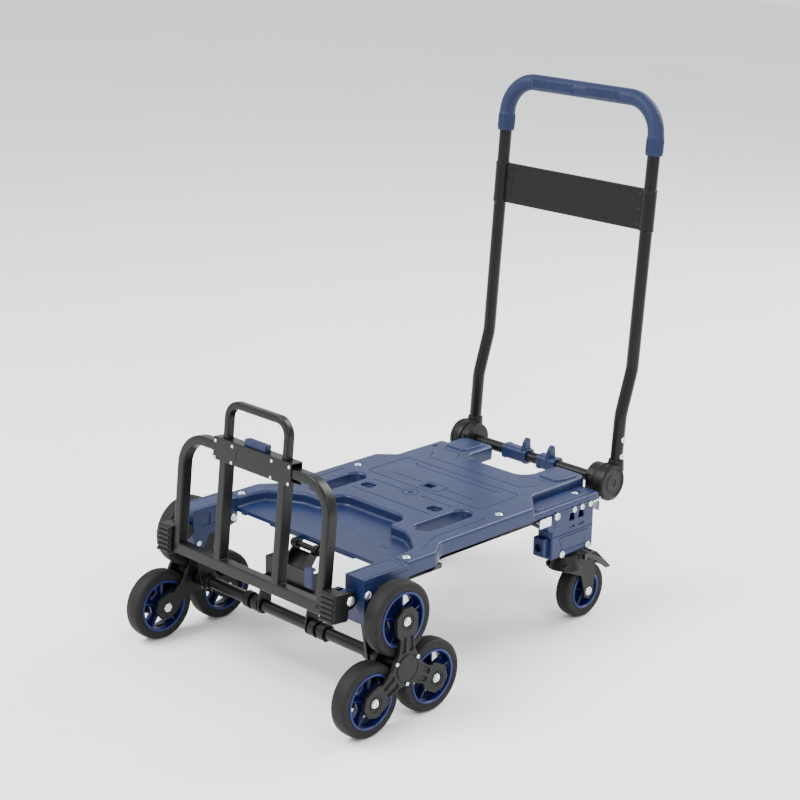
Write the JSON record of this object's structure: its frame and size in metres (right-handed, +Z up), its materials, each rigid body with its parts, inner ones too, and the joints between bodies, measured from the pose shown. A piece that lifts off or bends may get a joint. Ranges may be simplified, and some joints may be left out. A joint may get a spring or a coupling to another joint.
{
  "type": "folding stair-climbing platform trolley",
  "caption": "Folding platform trolley with tri-star front wheels for stairs, braked swivel casters, fold-down push handle and folding toe frame.",
  "frame": {"origin": "centre of the footprint box, on the floor", "axes": "+X to the right-hand side, -Y towards the toe frame, +Z up"},
  "size_m": [0.5476, 0.8243, 0.892],
  "materials": {
    "deck_plastic": "textured moulded polypropylene, navy blue",
    "leg_plastic": "moulded polypropylene, navy blue",
    "rim_plastic": "semi-gloss moulded nylon, deep blue",
    "black_plastic": "textured moulded nylon, black",
    "black_steel": "black powder coat, fine texture",
    "zinc_steel": "bright zinc plate",
    "tyre_rubber": "matt grey-black rubber",
    "grip_foam": "soft ribbed rubber, blue"
  },
  "bodies": {
    "deck": {"deck_panel": "deck_plastic", "deck_screws": "zinc_steel", "underframe": "black_steel", "hub_bases": "black_plastic", "latch_plates": "zinc_steel"},
    "release": {"release_bar": "black_steel", "release_paddles": "leg_plastic"},
    "handle": {"handle_tube": "black_steel", "handle_grip": "grip_foam", "handle_panel": "black_steel", "handle_hubs": "black_plastic", "handle_bolts": "zinc_steel"},
    "carriage": {"corner_block_l": "leg_plastic", "corner_block_r": "leg_plastic", "block_bolts": "zinc_steel", "axle_arms": "black_steel", "axle_bracket": "black_steel", "axle_tube": "black_steel", "axle_collars": "black_steel"},
    "clip": {"release_clip": "leg_plastic"},
    "toe": {"toe_frame": "black_steel", "toe_cover": "black_steel", "toe_rivets": "zinc_steel", "toe_feet": "black_plastic"},
    "slider": {"toe_slider": "black_steel"},
    "button": {"toe_button": "leg_plastic"},
    "star_l": {"star_plates_l": "black_plastic", "star_bolts_l": "zinc_steel"},
    "star_wheel_l1": {"star_tyre_l1": "tyre_rubber", "star_rim_l1": "rim_plastic"},
    "star_wheel_l2": {"star_tyre_l2": "tyre_rubber", "star_rim_l2": "rim_plastic"},
    "star_wheel_l3": {"star_tyre_l3": "tyre_rubber", "star_rim_l3": "rim_plastic"},
    "leg_l": {"rear_leg_l": "leg_plastic", "leg_bolts_l": "zinc_steel", "caster_plate_l": "black_steel"},
    "fork_l": {"caster_fork_l": "black_plastic", "caster_axle_l": "zinc_steel"},
    "caster_l": {"caster_tyre_l": "tyre_rubber", "caster_rim_l": "rim_plastic"},
    "brake_l": {"brake_pedal_l": "black_plastic"},
    "star_r": {"star_plates_r": "black_plastic", "star_bolts_r": "zinc_steel"},
    "star_wheel_r1": {"star_tyre_r1": "tyre_rubber", "star_rim_r1": "rim_plastic"},
    "star_wheel_r2": {"star_tyre_r2": "tyre_rubber", "star_rim_r2": "rim_plastic"},
    "star_wheel_r3": {"star_tyre_r3": "tyre_rubber", "star_rim_r3": "rim_plastic"},
    "leg_r": {"rear_leg_r": "leg_plastic", "leg_bolts_r": "zinc_steel", "caster_plate_r": "black_steel"},
    "fork_r": {"caster_fork_r": "black_plastic", "caster_axle_r": "zinc_steel"},
    "caster_r": {"caster_tyre_r": "tyre_rubber", "caster_rim_r": "rim_plastic"},
    "brake_r": {"brake_pedal_r": "black_plastic"}
  },
  "joints": [
    {"name": "handle_fold", "type": "hinge", "parent": "deck", "child": "handle", "pos_m": [0, 0.309, 0.226], "axis": [1, 0, 0], "range_deg": [-86, 80]},
    {"name": "release_turn", "type": "hinge", "parent": "deck", "child": "release", "pos_m": [0, 0.309, 0.226], "axis": [1, 0, 0], "range_deg": [0, 20], "stiffness_Nm_per_rad": 2, "springref_deg": -5.73},
    {"name": "carriage_fold", "type": "hinge", "parent": "deck", "child": "carriage", "pos_m": [0, -0.243, 0.205], "axis": [1, 0, 0], "range_deg": [0, 90]},
    {"name": "clip_press", "type": "slide", "parent": "carriage", "child": "clip", "axis": [0, 0, -1], "range_m": [0, 0.004], "stiffness_N_per_m": 400, "springref_m": -0.002},
    {"name": "toe_fold", "type": "hinge", "parent": "carriage", "child": "toe", "pos_m": [0, -0.347, 0.20652], "axis": [1, 0, 0], "range_deg": [-81.5, 0]},
    {"name": "toe_extend", "type": "slide", "parent": "toe", "child": "slider", "axis": [0, 0.0953, 0.9954], "range_m": [-0.034, 0.08]},
    {"name": "button_press", "type": "slide", "parent": "toe", "child": "button", "axis": [0, -0.0953, -0.9954], "range_m": [0, 0.005], "stiffness_N_per_m": 400, "springref_m": -0.002},
    {"name": "star_spin_l", "type": "hinge", "parent": "carriage", "child": "star_l", "pos_m": [-0.248, -0.286, 0.0981], "axis": [1, 0, 0], "continuous": true},
    {"name": "star_wheel_spin_l1", "type": "hinge", "parent": "star_l", "child": "star_wheel_l1", "pos_m": [-0.248, -0.286, 0.17431], "axis": [1, 0, 0], "continuous": true},
    {"name": "star_wheel_spin_l2", "type": "hinge", "parent": "star_l", "child": "star_wheel_l2", "pos_m": [-0.248, -0.352, 0.06], "axis": [1, 0, 0], "continuous": true},
    {"name": "star_wheel_spin_l3", "type": "hinge", "parent": "star_l", "child": "star_wheel_l3", "pos_m": [-0.248, -0.22, 0.06], "axis": [1, 0, 0], "continuous": true},
    {"name": "leg_fold_l", "type": "hinge", "parent": "deck", "child": "leg_l", "pos_m": [-0.174, 0.139, 0.193], "axis": [1, 0, 0], "range_deg": [-90, 0]},
    {"name": "caster_swivel_l", "type": "hinge", "parent": "leg_l", "child": "fork_l", "pos_m": [-0.175, 0.194, 0.12], "axis": [0, 0, 1], "continuous": true},
    {"name": "caster_spin_l", "type": "hinge", "parent": "fork_l", "child": "caster_l", "pos_m": [-0.175, 0.237, 0.05], "axis": [1, 0, 0], "continuous": true},
    {"name": "brake_press_l", "type": "hinge", "parent": "fork_l", "child": "brake_l", "pos_m": [-0.175, 0.22, 0.1215], "axis": [1, 0, 0], "range_deg": [-3, 8]},
    {"name": "star_spin_r", "type": "hinge", "parent": "carriage", "child": "star_r", "pos_m": [0.248, -0.286, 0.0981], "axis": [1, 0, 0], "continuous": true},
    {"name": "star_wheel_spin_r1", "type": "hinge", "parent": "star_r", "child": "star_wheel_r1", "pos_m": [0.248, -0.286, 0.17431], "axis": [1, 0, 0], "continuous": true},
    {"name": "star_wheel_spin_r2", "type": "hinge", "parent": "star_r", "child": "star_wheel_r2", "pos_m": [0.248, -0.352, 0.06], "axis": [1, 0, 0], "continuous": true},
    {"name": "star_wheel_spin_r3", "type": "hinge", "parent": "star_r", "child": "star_wheel_r3", "pos_m": [0.248, -0.22, 0.06], "axis": [1, 0, 0], "continuous": true},
    {"name": "leg_fold_r", "type": "hinge", "parent": "deck", "child": "leg_r", "pos_m": [0.174, 0.139, 0.193], "axis": [1, 0, 0], "range_deg": [-90, 0]},
    {"name": "caster_swivel_r", "type": "hinge", "parent": "leg_r", "child": "fork_r", "pos_m": [0.175, 0.194, 0.12], "axis": [0, 0, 1], "continuous": true},
    {"name": "caster_spin_r", "type": "hinge", "parent": "fork_r", "child": "caster_r", "pos_m": [0.175, 0.237, 0.05], "axis": [1, 0, 0], "continuous": true},
    {"name": "brake_press_r", "type": "hinge", "parent": "fork_r", "child": "brake_r", "pos_m": [0.175, 0.22, 0.1215], "axis": [1, 0, 0], "range_deg": [-3, 8]}
  ]
}
